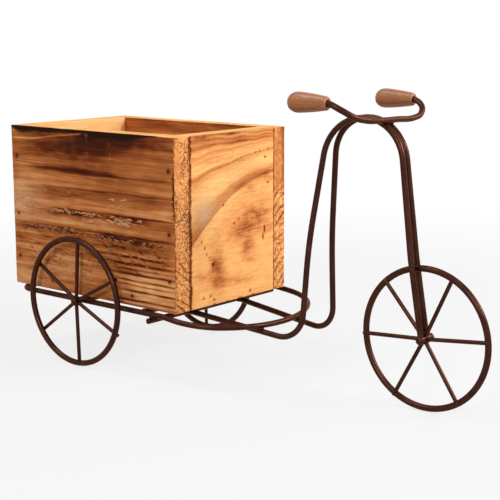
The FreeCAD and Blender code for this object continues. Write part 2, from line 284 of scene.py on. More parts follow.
fibreGrain = makeFibreGroup(fibreSet)
endPores = makePoreGroup(poreSet)
skinMottle = makeSkinGroup(mottleSet)
print("shader groups made")

# burnt softwood: each board carries these as vertex values
boardValues = ("tone", "char", "bleach", "end", "rows")
burntWood = {
    "tones": [(0.0, (0.94, 0.60, 0.27)), (0.12, (0.91, 0.465, 0.155)), (0.28, (0.75, 0.30, 0.097)),
              (0.5, (0.47, 0.145, 0.038)), (0.8, (0.165, 0.033, 0.0085)), (1.0, (0.055, 0.0135, 0.006))],
    "bleach": (0.66, 0.42, 0.245), "bleaching": 0.75,
    "fleck": (0.10, 0.03, 0.012), "flecks": 0.4,
    "endPore": (0.19, 0.062, 0.022), "poreShare": 0.95,
    "char": (0.022, 0.0085, 0.005),
    "hair": 0.10, "growthLine": 0.38, "grit": 0.34,
    "rough": (0.7, 0.8), "bump": (0.35, 0.0004), "specular": 0.03,
}


def makeBurntWood(name, turn, lean, streakiness):
    s = burntWood
    material, tree, shader, place = newMaterial(name)
    along = put(tree, "ShaderNodeMapping", {"Vector": place, "Rotation": (0, 0, turn)})[0]
    fibre = useGroup(tree, fibreGrain, {"Vector": along, "Size": 1.0, "Fleck": 0.4})
    pores = useGroup(tree, endPores, {"Vector": place, "Lean": lean})
    value = {key: vertexValue(tree, key) for key in boardValues}
    face = minus(1.0, value["end"])   # 1 on the long grain, 0 on the end grain
    streak = times(minus(fibre["Streak"], 0.5), streakiness)
    hair = times(minus(fibre["Hair"], 0.5), s["hair"])
    tone = plus(value["tone"], times(plus(streak, hair), face))
    lines = times(times(pores["Line"], value["rows"]), s["growthLine"])
    grit = times(minus(pores["Grit"], 0.36), s["grit"])
    lines = plus(lines, times(grit, value["end"]))
    colour = ramp(plus(tone, lines, clamp=True), s["tones"])
    flecks = times(times(fibre["Fleck"], face), s["flecks"])
    colour = laidOver(flecks, colour, s["fleck"])
    pale = times(value["bleach"], s["bleaching"], clamp=True)
    colour = laidOver(pale, colour, s["bleach"])
    fewer = minus(s["poreShare"], times(value["rows"], 0.5))
    hole = times(times(pores["Pore"], value["end"]), fewer)
    colour = laidOver(hole, colour, s["endPore"])
    burnt = plus(value["char"], times(hair, value["char"]))
    colour = laidOver(spread(burnt, 0.05, 0.95), colour, s["char"])
    height = plus(times(fibre["Hair"], 0.5), fibre["Streak"])
    height = minus(times(height, face), hole)
    dress(shader, s, colour, value["char"], height)
    return material


# grain along X on the side boards and along Y on the others; lean is the slope of the growth lines
rightWood = makeBurntWood("burntWoodRight", turn=0.0, lean=0.65, streakiness=0.18)
leftWood = makeBurntWood("burntWoodLeft", turn=0.0, lean=-0.75, streakiness=0.18)
crossWood = makeBurntWood("burntWoodCross", turn=pi / 2, lean=0.4, streakiness=0.05)

gripWood = {
    "tones": [(0.0, (0.40, 0.152, 0.054)), (0.45, (0.31, 0.104, 0.034)), (1.0, (0.15, 0.040, 0.012))],
    "streak": 0.42, "hair": 0.16,
    "under": 0.4,   # painted shade: darker towards the underside
    "fleck": (0.07, 0.025, 0.012), "flecks": 0.6,
    "rough": (0.33, 0.4), "bump": (0.05, 0.0003), "specular": 0.34,
}


def makeGripWood(s):
    material, tree, shader, place = newMaterial("turnedGripWood")
    fibre = useGroup(tree, fibreGrain, {"Vector": place, "Size": 1.6, "Fleck": 0.7})
    tone = plus(times(fibre["Streak"], s["streak"]), times(fibre["Hair"], s["hair"]))
    # painted shade: the tone grows darker towards the underside
    tone = plus(tone, times(vertexValue(tree, "under"), s["under"]))
    flecks = times(fibre["Fleck"], s["flecks"])
    colour = laidOver(flecks, ramp(tone, s["tones"]), s["fleck"])
    dress(shader, s, colour, fibre["Hair"], fibre["Hair"])
    return material


bronzeSet = {
    "mottle": 1.0, "tones": [(0.0, (0.042, 0.0152, 0.010)), (1.0, (0.060, 0.0225, 0.015))],
    "speck": (0.12, 0.055, 0.037), "specks": 0.06, "rough": (0.31, 0.37), "bump": (0.008, 0.0003),
    "metallic": 0.7, "specular": 0.1, "tint": (0.9, 0.56, 0.42, 1),
}
nailSteelSet = {
    "mottle": 2.0, "tones": [(0.0, (0.016, 0.009, 0.007)), (1.0, (0.05, 0.026, 0.018))],
    "speck": (0.05, 0.026, 0.018), "specks": 0.0, "rough": (0.4, 0.6), "bump": (0.2, 0.0002),
    "metallic": 0.5, "specular": 0.15, "tint": (1, 1, 1, 1),
}


def makeMetalSkin(name, s):
    material, tree, shader, place = newMaterial(name)
    skin = useGroup(tree, skinMottle, {"Vector": place, "Size": s["mottle"]})
    specks = times(skin["Speck"], s["specks"])
    colour = laidOver(specks, ramp(skin["Cloud"], s["tones"]), s["speck"])
    dress(shader, s, colour, skin["Cloud"], skin["Height"])
    feed(shader, {"Metallic": s["metallic"], "Specular Tint": s["tint"]})
    return material


gripFinish = makeGripWood(gripWood)
bronzeCoat = makeMetalSkin("bronzeCoat", bronzeSet)
nailSteel = makeMetalSkin("nailSteel", nailSteelSet)
print("materials made")


# noise for the boards' surfaces, on plain arrays so that shape and colour agree;
# from here u runs along a board, a across it and v up it, in millimetres
def noise(x, y, seed):
    ix, iy = np.floor(x).astype(np.int64), np.floor(y).astype(np.int64)
    fx, fy = x - ix, y - iy

    def corner(i, j):   # a fixed value between 0 and 1 for each whole step
        n = (i * 374761393 + j * 668265263 + seed * 974634777) & 0xFFFFFFFF
        n = ((n ^ (n >> 13)) * 1274126177) & 0xFFFFFFFF
        return ((n ^ (n >> 16)) & 0xFFFF) / 65535.0

    u, v = fx * fx * (3 - 2 * fx), fy * fy * (3 - 2 * fy)
    low = corner(ix, iy) * (1 - u) + corner(ix + 1, iy) * u
    high = corner(ix, iy + 1) * (1 - u) + corner(ix + 1, iy + 1) * u
    return low * (1 - v) + high * v


def layered(x, y, seed, layers=3):
    amount, total, share = 0.0, 0.0, 1.0
    for k in range(layers):
        amount = amount + share * noise(x * 2 ** k, y * 2 ** k, seed + 17 * k)
        total += share
        share *= 0.5
    return amount / total


def swing(x, y, seed, layers=3):
    return layered(x, y, seed, layers) - 0.5


def wander(x, seed):   # noise along one line
    return noise(x, x * 0, seed)


def step(low, high, x):
    t = np.clip((x - low) / (high - low), 0, 1)
    return t * t * (3 - 2 * t)


def hump(x, middle, half):
    return np.exp(-((x - middle) / half) ** 2)


def between(x, start, end, soft):
    return step(start - soft, start + soft, x) * (1 - step(end - soft, end + soft, x))


def smudge(u, v, along, up, length, tall, strength):   # a soft round mark
    return strength * hump(u, along, length) * hump(v, up, tall)


boardLength = 214.0   # millimetres, as the solids have them
boardTop = 153.0

# right side: bands of dark late wood, torn rows and a scorched top edge; millimetres along and up the board
rightFace = {
    "base": 0.49, "figure": 0.26, "upper": 0.05, "mottle": 0.12, "pits": 0.42,
    "waver": 2.6, "ripple": 0.8,   # how far the grain lines stray
    "bands": [  # height, half width, strength, from, to
        (119.2, 0.5, 0.26, 0, 88), (115.3, 2.2, 0.30, 30, 140), (115.8, 3.0, 0.32, 74, 110),
        (114.6, 1.2, 0.18, 120, 212), (99.2, 0.9, 0.30, 38, 214), (96.0, 3.2, 0.16, 44, 214),
        (91.0, 0.8, 0.10, 0, 120), (79.2, 0.8, 0.34, 56, 214), (76.4, 2.6, 0.36, 54, 122),
        (76.0, 3.0, 0.38, 128, 176), (73.0, 4.0, 0.12, 170, 214), (61.4, 0.8, 0.30, 0, 214),
        (58.6, 2.4, 0.24, 8, 100), (58.0, 3.0, 0.40, 108, 202), (51.5, 2.6, 0.18, 120, 206),
        (44.2, 0.9, 0.54, 128, 206), (37.8, 0.95, 0.60, 126, 206), (33.6, 0.7, 0.36, 138, 214),
        (29.4, 0.8, 0.62, 142, 214), (23.6, 0.85, 0.64, 146, 214), (19.4, 0.7, 0.52, 140, 214),
        (14.2, 0.85, 0.62, 142, 214), (10.2, 0.7, 0.22, 150, 214), (5.8, 0.85, 0.62, 142, 214),
        (1.6, 0.9, 0.36, 130, 214), (42.0, 0.8, 0.22, 0, 40), (34.4, 0.7, 0.2, 0, 34),
        (50.4, 0.7, 0.18, 4, 60),
    ],
    "smudges": [  # along, up, half length, half height, strength
        (128, 149, 42, 10, 0.38), (112, 138, 20, 15, 0.20), (96, 136, 12, 13, 0.14),
        (124, 135, 16, 10, 0.16), (150, 141, 26, 12, 0.20), (58, 134, 46, 7, 0.30),
        (40, 128, 30, 4, 0.08), (190, 146, 30, 7, 0.18), (10, 90, 26, 15, -0.20), (6, 76, 12, 8, -0.10),
        (30, 106, 20, 6, -0.10), (14, 8, 22, 14, -0.16), (190, 12, 34, 18, -0.30),
        (185, 33, 18, 3, -0.12), (70, 22, 46, 22, -0.16), (90, 67, 90, 3, -0.10),
        (150, 67, 60, 4, -0.08), (160, 106, 50, 5, 0.02), (90, 107, 46, 4, 0.02),
        (150, 84, 60, 4, -0.08), (70, 50, 60, 7, 0.06), (204, 128, 14, 12, 0.06),
        (66, 147, 34, 9, 0.18), (66, 130, 24, 7, 0.09), (168, 111, 44, 8, 0.13),
        (22, 40, 30, 14, -0.10), (134, 111, 28, 8, 0.12), (206, 92, 16, 14, -0.10),
        (175, 26, 16, 8, -0.14),
    ],
    "charDepth": (
        [0, 4, 10, 26, 60, 94, 100, 118, 150, 172, 195, 214],
        [2, 3, 6, 5.4, 4.6, 4.0, 5, 7, 6.2, 2.8, 0.2, -1.2]),
    "crack": ([0, 30, 60, 86, 105], [140.6, 142, 145.4, 148.6, 149.6]), "crackPale": 0.34,
    "knot": (104.5, 148.0, 2.2),   # along, up, radius
    "knotPale": 0.34, "knotDark": 0.8, "scuffPale": 0.3, "endStain": 0.5, "paleBleach": 0.3,
    "wornCorner": (8, 80, 22, 14, 0.16), "bleached": (12, 82, 30, 18, 0.42),   # as the smudges
    "sunk": 0.16, "fibreDepth": 0.10, "pitDepth": 0.5, "darkDepth": 0.14,
    "scuffs": [  # along, stray, seed, half width, from, to, softness, strength
        (104, 2, 53, 1.6, 134, 150, 4, 1.0), (133, 3, 54, 3, 128, 146, 6, 0.7),
    ],
    "raggedPitsAndShadow": [  # height, half height, strength, from, to: short dark dashes of broken late wood, partly painted shadow under the lifted slivers
        (76, 4, 0.6, 20, 180), (58, 4, 0.8, 0, 206), (47, 9, 0.75, 110, 206), (34, 8, 0.55, 96, 200),
        (40, 14, 0.45, 0, 60), (30, 16, 0.5, 40, 130), (14, 12, 0.35, 20, 140), (92, 3, 0.3, 48, 100),
    ],
}


def rightFields(u, v):
    s = rightFace
    w = v + swing(u / 60, v / 40, 3) * s["waver"] + (noise(u / 15, v / 9, 5) - 0.5) * s["ripple"]
    tone = s["base"] + s["figure"] * swing(u / 80, w / 4.2, 11, 4) + s["upper"] * step(100, 150, v)
    tone = tone + s["mottle"] * swing(u / 14, v / 9, 13)
    for height, half, strength, start, end in s["bands"]:
        patch = 0.6 + 0.8 * noise(u / 21, u * 0 + height, 21)
        tone = tone + strength * patch * hump(w, height, half) * between(u, start, end, 16)
    patch = 0.75 + 0.5 * noise(u / 8, v / 4, 31)
    for mark in s["smudges"]:
        tone = tone + smudge(u, v, *mark) * patch
    # broken fibres: short dark pits that follow the grain, partly painted shadow under the lifted slivers
    pit = np.zeros_like(u)
    drift = 2.4 * noise(u / 8, v / 4, 41)
    for number, (height, half, strength, start, end) in enumerate(s["raggedPitsAndShadow"]):
        dash = layered(u / 6.4 + drift, (w + 0.12 * u) / 1.5, 43 + number, 2)
        row = strength * hump(w, height, half) * between(u, start, end, 9)
        pit = np.maximum(pit, row * step(0.56, 0.76, dash))
    tone = tone + s["pits"] * pit
    # a pale crack, two scuffs and a worn corner
    crack = hump(v, np.interp(u, *s["crack"]) + (wander(u / 14, 51) - 0.5), 0.75) * between(u, 2, 100, 4)
    tone = tone - s["crackPale"] * crack
    scuff = np.zeros_like(u)
    for along, stray, seed, half, start, end, soft, strength in s["scuffs"]:
        mark = hump(u, along + stray * wander(v / 6, seed), half) * between(v, start, end, soft)
        scuff = np.maximum(scuff, strength * mark)
    tone = tone - s["scuffPale"] * scuff * step(0.3, 0.7, noise(u / 1.5, v / 2.4, 57))
    tone = tone - smudge(u, v, *s["wornCorner"]) * step(0.45, 0.75, layered(u / 3.2, v / 1.3, 59, 2))
    along, up, radius = s["knot"]
    far = np.hypot(u - along, v - up)
    knot = hump(far, 0, radius)
    tone = tone - s["knotPale"] * knot + s["knotDark"] * hump(far, 0, 0.3 * radius)
    darkening = s["endStain"] * step(211.0, 213.6, u + 3 * (wander(v / 2.4, 60) - 0.5))
    tone = tone + darkening * between(v, 84, 124, 5)
    bleach = smudge(u, v, *s["bleached"]) + s["paleBleach"] * step(0.46, 0.28, tone) * step(120, 90, v)
    depth = np.interp(u, *s["charDepth"]) * (0.5 + 1.0 * layered(u / 17, v / 5, 61))
    char = step(-0.9, 0.7, (v - boardTop + depth) / np.maximum(depth, 2))
    char = char * (1 - 0.8 * np.maximum(crack, knot)) * (1 - 0.5 * scuff)
    rest = layered(u / 3.0, w / 0.9, 71, 2)
    sunk = s["sunk"] + s["fibreDepth"] * (1 - rest) + s["pitDepth"] * pit
    return tone, char, bleach, sunk + s["darkDepth"] * np.clip(tone - 0.45, 0, 0.5)


# front: flat-sawn rings between two sweeping curves, soft scorch smudges below them
frontFace = {
    "base": 0.10, "figure": 0.12,
    "zero": 55,   # where across is counted from, off the board's right edge
    "lower": (93.0, 0.567, -0.00439, -5.0),   # dark ring: height, slope, bend, and where they are taken
    "upper": (128.3, 0.195, -0.00189, 3.3),   # the same for the thin dotted ring
    "rings": [  # place between the two curves, half width, strength
        (0.03, 0.04, 0.24), (0.12, 0.09, 0.30), (0.27, 0.09, 0.20), (0.99, 0.05, 0.30),
        (0.88, 0.07, 0.16), (1.14, 0.04, 0.10), (1.24, 0.03, 0.10), (1.36, 0.05, 0.18),
        (1.52, 0.06, 0.36), (1.64, 0.05, 0.30), (1.78, 0.06, 0.24), (1.95, 0.08, 0.24),
    ],
    "smudges": [  # across, up, half width, half height, strength
        (30, 72, 21, 13, 0.30), (36, 77, 14, 7, 0.12), (14, 63, 14, 7, 0.24), (0, 62, 10, 9, 0.10),
        (21, 47, 8, 7, 0.42), (24, 36, 10, 4, 0.16), (-20, 33, 9, 16, 0.30), (-25, 38, 4, 7, 0.20),
        (-19, 20, 10, 6, 0.26), (-4, 20, 14, 3, 0.18), (14, 17, 20, 3, 0.14), (-40, 28, 10, 5, 0.14),
        (46, 109, 15, 4.5, 0.22), (18, 102, 14, 4, 0.14), (40, 97, 16, 7, 0.07), (52, 60, 7, 4, 0.14),
        (-46, 60, 8, 10, 0.09), (-30, 131, 30, 5, 0.08), (10, 147, 14, 4, 0.16),
        (-40, 152, 16, 2.5, 0.40), (-5, 152.5, 14, 2, 0.30),
    ],
    "ash": (-37, 84, 12, 10), "speckDark": 1.2, "dots": 0.7, "sides": 0.8,
    "specks": [  # across, up, half width, half height
        (-12, 88.6, 0.9, 0.9), (2.6, 70.4, 0.9, 0.8), (45.2, 60, 1.1, 3.0), (43.2, 53, 0.9, 2.4),
        (46, 127, 1.6, 0.9), (50, 103, 1.4, 0.8), (24.5, 5, 1.2, 1.2), (-41, 59, 0.7, 0.7),
        (-37, 53, 0.7, 1.2), (-34.5, 47, 0.7, 0.9), (-31, 44, 0.8, 0.7), (-26, 37, 1.4, 1.0),
        (-39, 8, 0.8, 1.0), (-30, 9, 1.0, 0.8), (-25, 5, 1.4, 0.8), (9, 74, 0.8, 0.7),
    ],
}


def frontFields(a, v):
    s = frontFace
    lower, upper = [height + slope * (a - at) + bend * (a - at) ** 2
                    for height, slope, bend, at in (s["lower"], s["upper"])]
    q = (v - lower) / (upper - lower) + swing(a / 30, v / 30, 103) * 0.14   # 0 on one ring, 1 on the other
    low = np.clip(q, -3, 0)   # below the dark ring the figure fades
    tone = s["base"] + 0.07 * step(0.0, -0.5, q) + 0.05 * step(0.95, 1.6, q)
    tone = tone + s["figure"] * swing(q * 13, a / 40, 107) * (1 + 0.2 * low)
    for place, half, strength in s["rings"]:
        patch = 0.7 + 0.7 * noise(a / 16, a * 0 + place * 40, 109)
        tone = tone + strength * patch * hump(q, place, half)
    mottle = 0.5 + layered(a / 6, v / 5, 113)
    grainy = 0.35 + 1.3 * layered(a / 8, v / 1.1, 115, 2)
    for mark in s["smudges"]:
        tone = tone + smudge(a, v, *mark) * mottle * grainy
    across, up, wide, tall = s["ash"]
    ash = hump(a - 0.5 * (v - up), across, wide) * hump(v, up, tall)
    tone = tone + 0.1 * ash
    dots = step(0.66, 0.8, noise(a / 1.2, v / 1.0, 117)) * hump(q, 1.03, 0.05) * between(a, 6, 58, 12)
    for speck in s["specks"]:
        dots = np.maximum(dots, smudge(a, v, *speck, s["speckDark"]))
    tone = tone + s["dots"] * dots + 0.10 * swing(a / 2.2, v / 1.0, 119, 2)
    sides = np.maximum(step(3.0, 0.7, a + s["zero"] + 1.7 * wander(v / 2.0, 122)),
                       step(2.0, 0.3, 59 - a + 1.3 * wander(v / 3, 123)))
    tone = tone + s["sides"] * sides
    # a ragged dark line along the bottom edge of the face, carried in the char value
    edge = step(2.4, 0.2, v + 2.6 * (wander(a / 5, 121) - 0.4))
    char = 0.7 * edge * between(a, -48, 34, 10) * step(0.35, 0.7, wander(a / 4, 125))
    fibre = layered(a / 6, v / 0.9, 127, 2)
    sunk = 0.10 + 0.10 * (1 - fibre) + 0.12 * np.clip(tone - 0.15, 0, 0.6)
    return tone, char, ash, sunk + 0.25 * np.clip(dots, 0, 1) + 0.5 * sides


# the sides that the photograph does not show follow the same habit with their own bands
def plainFields(u, v, seed, base, scorch=0.0, figure=0.16):
    w = v + swing(u / 50, v / 26, seed) * 6
    tone = base + figure * swing(u / 80, w / 4.6, seed + 1, 4) * 1.6
    tone = tone + 0.28 * scorch * step(0.52, 0.72, layered(u / 160, w / 7, seed + 2, 2))
    torn = step(0.5, 0.75, layered(u / 60, w / 9, seed + 5))
    drift = u / 4.8 + 3 * noise(u / 9, v / 4, seed + 3)
    tear = noise(drift, v / 1.7, seed + 4)
    below = noise(drift, (v + 1.1) / 1.7, seed + 4)
    pit = scorch * step(0.6, 0.85, tear) * torn
    bleach = 0.7 * scorch * step(0.15, 0.45, below - tear) * torn
    depth = (3 + 8 * layered(u / 30, v * 0, seed + 6)) * (0.5 + layered(u / 12, v / 6, seed + 7))
    char = scorch * step(-0.4, 0.6, (v - boardTop + depth) / np.maximum(depth, 2))
    low = 0.14 + 0.1 * (1 - layered(u / 3, w / 0.9, seed + 8, 2)) + 0.3 * pit - 0.1 * bleach
    return tone + 0.45 * pit, char, bleach, low


# a board: a shell of small quads with eased, slightly worn arrises, sunk by its fields
shellSet = {"edge": np.array([0, 0.45, 0.9]), "inset": 1.4, "wear": 0.95, "sunk": 0.02}


def boardShell(size, pitch, seed):
    s = shellSet
    lines = []
    for length, gap in zip(size, pitch):
        count = max(int(round((length - 2 * s["inset"]) / gap)), 2)
        inner = np.linspace(s["inset"], length - s["inset"], count)
        lines.append(np.concatenate([s["edge"], inner, length - s["edge"][::-1]]))
    counts = [len(line) for line in lines]
    grid = np.stack(np.meshgrid(*[np.arange(count) for count in counts], indexing="ij"), -1)
    shell = ((grid == 0) | (grid == np.array(counts) - 1)).any(-1)
    ids = np.full(counts, -1)
    ids[shell] = np.arange(shell.sum())
    spots = grid[shell]
    points = np.stack([lines[axis][spots[:, axis]] for axis in range(3)], 1)
    uneven = layered(points.sum(1) / 17, points[:, 0] / 23 + points[:, 2] / 19, seed)
    ease = s["wear"] * (0.7 + 0.9 * uneven)[:, None]
    core = np.clip(points, ease, size - ease)
    out = points - core
    normal = out / np.maximum(np.linalg.norm(out, axis=1, keepdims=True), 1e-9)
    quads = []
    for axis in range(3):
        for end, flip in ((0, axis != 1), (-1, axis == 1)):
            sheet = np.take(ids, end, axis=axis)
            corners = [sheet[:-1, :-1], sheet[1:, :-1], sheet[1:, 1:], sheet[:-1, 1:]]
            if flip:
                corners = corners[::-1]
            quads.append(np.stack([corner.ravel() for corner in corners], 1))
    return core + normal * ease, normal, np.concatenate(quads)


def makeBoard(name, s):
    node = s["node"]
    low, high = [np.array(corner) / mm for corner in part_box(node)]
    points, normal, quads = boardShell(high - low, s["quads"], s["wearSeed"])
    values = {key: np.zeros(len(points)) for key in ("tone", "char", "bleach", "sunk", "end", "rows")}
    main = np.abs(normal).argmax(1)
    side = np.sign(normal[np.arange(len(points)), main])
    for axis in range(3):
        for sign in (-1, 1):
            here = (main == axis) & (side == sign)
            for key, value in zip(values, s["paint"](s, axis, sign, points[here])):
                values[key][here] = value
    points = low + points - normal * np.maximum(values["sunk"], shellSet["sunk"])[:, None]
    mesh = bpy.data.meshes.new(name)
    mesh.from_pydata((points * mm).tolist(), [], quads.tolist())
    for key in boardValues:
        addValues(mesh, key, np.clip(values[key], 0, 1))
    mesh.polygons.foreach_set("use_smooth", np.ones(len(quads), bool))
    mesh.materials.append(s["wood"])
    piece = addObject(name, mesh)
    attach(piece, "stand")
    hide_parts(node)
    print("board", name, len(quads), "quads")


# nails: dark heads set just under the wood's surface; the boards are stained round them
nailSet = {
    "Radius": 1.45 * mm, "Depth": 2.4 * mm, "Rough": 0.12, "Seed": 4,
    "inset": 7.0, "heights": (27.5, 69.0, 124.0), "floorStep": 53.5, "floorHeight": 9.0,
    "sink": 1.36, "lean": 0.05, "stainReach": 2.1, "stainTone": 0.4,
}


def nailSpots(length):
    s = nailSet
    spots = [(x, z) for x in (s["inset"], length - s["inset"]) for z in s["heights"]]
    return spots + [(length / 2 + x, s["floorHeight"]) for x in (-s["floorStep"], s["floorStep"])]


def nailMarks(u, v):
    mark = np.zeros_like(u)
    for x, z in nailSpots(boardLength):
        mark = np.maximum(mark, hump(np.hypot(u - x, v - z), 0, nailSet["stainReach"]))
    return nailSet["stainTone"] * mark


# each painter gives tone, char, bleach and depth for one side of its board, then end grain and growth lines
# where that side has them
def edgeFields(along, seed, base):
    none = np.zeros_like(along)
    return base + 0.12 * swing(along / 18, along * 0, seed), none, none, none + 0.08


def endFields(v, across, seed, base):
    tone = base + 0.16 * swing(across / 5, v / 12, seed) + 0.10 * swing(across / 1.4, v / 40, seed + 1)
    none = np.zeros_like(v)
    return tone, none, none, none + 0.1 + 0.12 * noise(across / 1.6, v / 1.6, seed + 2)


def darker(fields, by):
    return fields[0] + by, *fields[1:]


def paintRight(s, axis, sign, points):
    u, y, v = points.T
    if axis == 1 and sign < 0:
        return darker(rightFields(u, v), nailMarks(u, v))
    if axis == 1:
        return darker(plainFields(u, v, 201, s["inner"]), 0.6 * step(211, 213.5, u))
    if axis == 0:
        tone, char, bleach, sunk = endFields(v, y, 211, s["end"])
        dark = 0.5 * step(2.2, 0.2, y) * step(0.3, 0.7, noise(v / 3, y, 213))
        line = step(17.2, 19.0, y + 1.8 * (wander(v / 1.8, 214) - 0.5))   # stain along the joint
        dark = np.maximum(dark, line * (0.22 + 0.44 * wander(v / 7, 216)))
        tone = tone + dark + 0.10 * swing(y / 1.6, v / 60, 221) * step(80, 110, v)
        char = 0.6 * step(150, 153, v) * step(8, 2, y)
        porous = 1 - 0.6 * step(12, 7, y + 3 * noise(y / 4, v / 9, 223)) * step(92, 112, v)
        rows = step(58, 40, v + 8 * (noise(y / 4, v / 12, 219) - 0.5))
        return tone, char, bleach, sunk, porous, rows
    tone, char, bleach, sunk = edgeFields(u, 215, s["edge"])
    char = step(2.6, 0.4, y + 1.4 * (wander(u / 9, 217) - 0.5)) * (sign > 0) * step(205, 185, u)
    return tone, char, bleach, sunk


def paintLeft(s, axis, sign, points):
    u, y, v = points.T
    if axis == 1 and sign > 0:
        return darker(plainFields(u, v, 301, s["outer"], s["scorch"]), nailMarks(u, v))
    if axis == 1:
        top = step(147, 153, v + 3 * wander(u / 12, 313))
        return darker(plainFields(u, v, 311, s["inner"], figure=0.3), 0.2 * top)
    if axis == 0:
        tone, char, bleach, sunk = endFields(v, y, 321, s["end"])
        upper = step(88, 108, v + 12 * (noise(y / 5, v / 20, 323) - 0.5))
        tone = tone + upper * (0.2 + 0.4 * swing(y / 2.2, v / 60, 325) + 0.14 * step(9, 14, y))
        char = 0.6 * step(145, 153, v) * step(9, 15, y)
        return tone, char, bleach, sunk, 1 - 0.85 * upper, 1 - upper
    return edgeFields(u, 331, s["edge"])


def paintFront(s, axis, sign, points):
    x, a, v = points.T
    if axis == 0 and sign > 0:
        return frontFields(a - frontFace["zero"], v)
    if axis == 0:
        return plainFields(a, v, 401, s["inner"])
    tone, char, bleach, sunk = edgeFields(a if axis == 2 else v, 411, s["edge"])
    tone = tone + 0.6 * (axis == 1) * step(15.4, 17.4, x)
    char = 0.5 * step(15.8, 17.8, x + wander(a / 8, 413)) * (sign > 0) * (axis == 2)
    return tone, char, bleach, sunk


def paintBack(s, axis, sign, points):
    a, v = points.T[1:]
    if axis == 0 and sign < 0:
        return plainFields(a, v, 501, s["outer"], s["scorch"])
    if axis == 0:
        return plainFields(a, v, 511, s["inner"], figure=0.1)
    return edgeFields(a if axis == 2 else v, 521, s["edge"])


def paintFloor(s, axis, sign, points):
    u, a = points.T[:2]
    if axis == 2:
        return plainFields(u, a, 601 + sign, s["flat"])
    return edgeFields(u, 611, s["edge"])


# quads gives their sizes in millimetres, fine where the photograph shows the board; the last values are tones
boardSet = {
    "rightBoard": {"node": "right_side_board", "wood": rightWood, "quads": (1.4, 1.4, 0.68), "wearSeed": 7,
                   "paint": paintRight, "inner": 0.32, "end": 0.25, "edge": 0.14},
    "leftBoard": {"node": "left_side_board", "wood": leftWood, "quads": (1.3, 1.2, 1.3), "wearSeed": 8,
                  "paint": paintLeft, "outer": 0.46, "scorch": 1.0, "inner": 0.51, "end": 0.2, "edge": 0.14},
    "frontBoard": {"node": "front_board", "wood": crossWood, "quads": (2.0, 1.0, 1.0), "wearSeed": 9,
                   "paint": paintFront, "inner": 0.26, "edge": 0.12},
    "backBoard": {"node": "back_board", "wood": crossWood, "quads": (2.0, 1.3, 1.3), "wearSeed": 10,
                  "paint": paintBack, "outer": 0.42, "scorch": 0.9, "inner": 0.05, "edge": 0.12},
    "floorBoard": {"node": "floor_board", "wood": rightWood, "quads": (2.4, 2.4, 2.4), "wearSeed": 12,
                   "paint": paintFloor, "flat": 0.34, "edge": 0.34},
}
for boardName, settings in boardSet.items():
    makeBoard(boardName, settings)

# grips: turned profile, distance from the free end and radius in millimetres
gripTurning = {
    "profile": [(0.02, 0), (0.02, 1.5), (0.8, 2.5), (2.6, 5.2), (4.6, 6.9), (8.6, 8.2), (15, 8.02),
                (26, 7.02), (35, 5.78), (37.6, 5.3), (38.4, 4), (38.2, 2.56), (36, 2.56)],
    "sides": 72, "fine": 4, "uneven": 0.004, "darkening": (0.35, -0.8),   # darkening: painted shade towards the underside; share of the radius, up
}


def smoothProfile(corners, fine):   # a curve through all the corners
    spots = np.array([corners[0], *corners, corners[-1]], float)
    out = []
    for a, b, c, d in zip(spots, spots[1:], spots[2:], spots[3:]):
        for t in np.arange(fine) / fine:
            bend = (2 * a - 5 * b + 4 * c - d) * t ** 2 + (3 * b - a - 3 * c + d) * t ** 3
            out.append(0.5 * (2 * b + (c - a) * t + bend))
    return np.array([*out, spots[-1]])


def makeGrip(name, node, s, seed):
    low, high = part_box(node)
    middle = (low + high) / 2
    mesh = bmesh.new()
    rings = []
    for along, radius in smoothProfile(s["profile"], s["fine"]):
        ring = []
        for angle in tau * np.arange(s["sides"]) / s["sides"]:
            reach = max(radius, 0.0) * (1 + s["uneven"] * sin(3 * angle + seed) * (radius > 3)) * mm
            spot = (low.x + along * mm, middle.y + reach * cos(angle), middle.z + reach * sin(angle))
            ring.append(mesh.verts.new(spot))
        rings.append(ring)
    for first, second in zip(rings, rings[1:]):
        for k in range(s["sides"]):
            n = (k + 1) % s["sides"]
            mesh.faces.new((first[k], second[k], second[n], first[n]))
    mesh.faces.new(rings[-1][::-1])
    bmesh.ops.remove_doubles(mesh, verts=mesh.verts, dist=1e-7)
    bmesh.ops.recalc_face_normals(mesh, faces=mesh.faces)
    data = bpy.data.meshes.new(name)
    mesh.to_mesh(data)
    mesh.free()
    data.polygons.foreach_set("use_smooth", np.ones(len(data.polygons), bool))
    heights = np.array([vertex.co.z for vertex in data.vertices])
    # painted shade: a value that grows towards the underside of the grip
    addValues(data, "under", step(*s["darkening"], (heights - middle.z) / (high.z - middle.z)))
    data.materials.append(gripFinish)
    piece = addObject(name, data)
    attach(piece, "stand")
    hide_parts(node)
    print("grip", name, len(data.polygons), "faces")


makeGrip("rightGripTurned", "right_grip", gripTurning, 1)
makeGrip("leftGripTurned", "left_grip", gripTurning, 2)


# geometry nodes: a tree with named inputs, ending in real geometry and its material
def newTree(name, inputs):
    tree = bpy.data.node_groups.new(name, "GeometryNodeTree")
    addSocket(tree, "INPUT", "Geometry", "Geometry")
    for label, value in inputs.items():
        addSocket(tree, "INPUT", "Int" if isinstance(value, int) else "Float", label, value)
    addSocket(tree, "INPUT", "Material", "Material")
    addSocket(tree, "OUTPUT", "Geometry", "Geometry")
    return tree, tree.nodes.new("NodeGroupInput").outputs


def endTree(tree, take, shape):
    real = put(tree, "GeometryNodeRealizeInstances", {"Geometry": shape})[0]
    soft = put(tree, "GeometryNodeSetShadeSmooth", {"Geometry": real})[0]
    done = put(tree, "GeometryNodeSetMaterial", {"Geometry": soft, "Material": take["Material"]})[0]
    tree.links.new(done, tree.nodes.new("NodeGroupOutput").inputs[0])
    return tree


def pointValue(tree, name, kind):
    return put(tree, "GeometryNodeInputNamedAttribute", {"Name": name}, data_type=kind)[0]


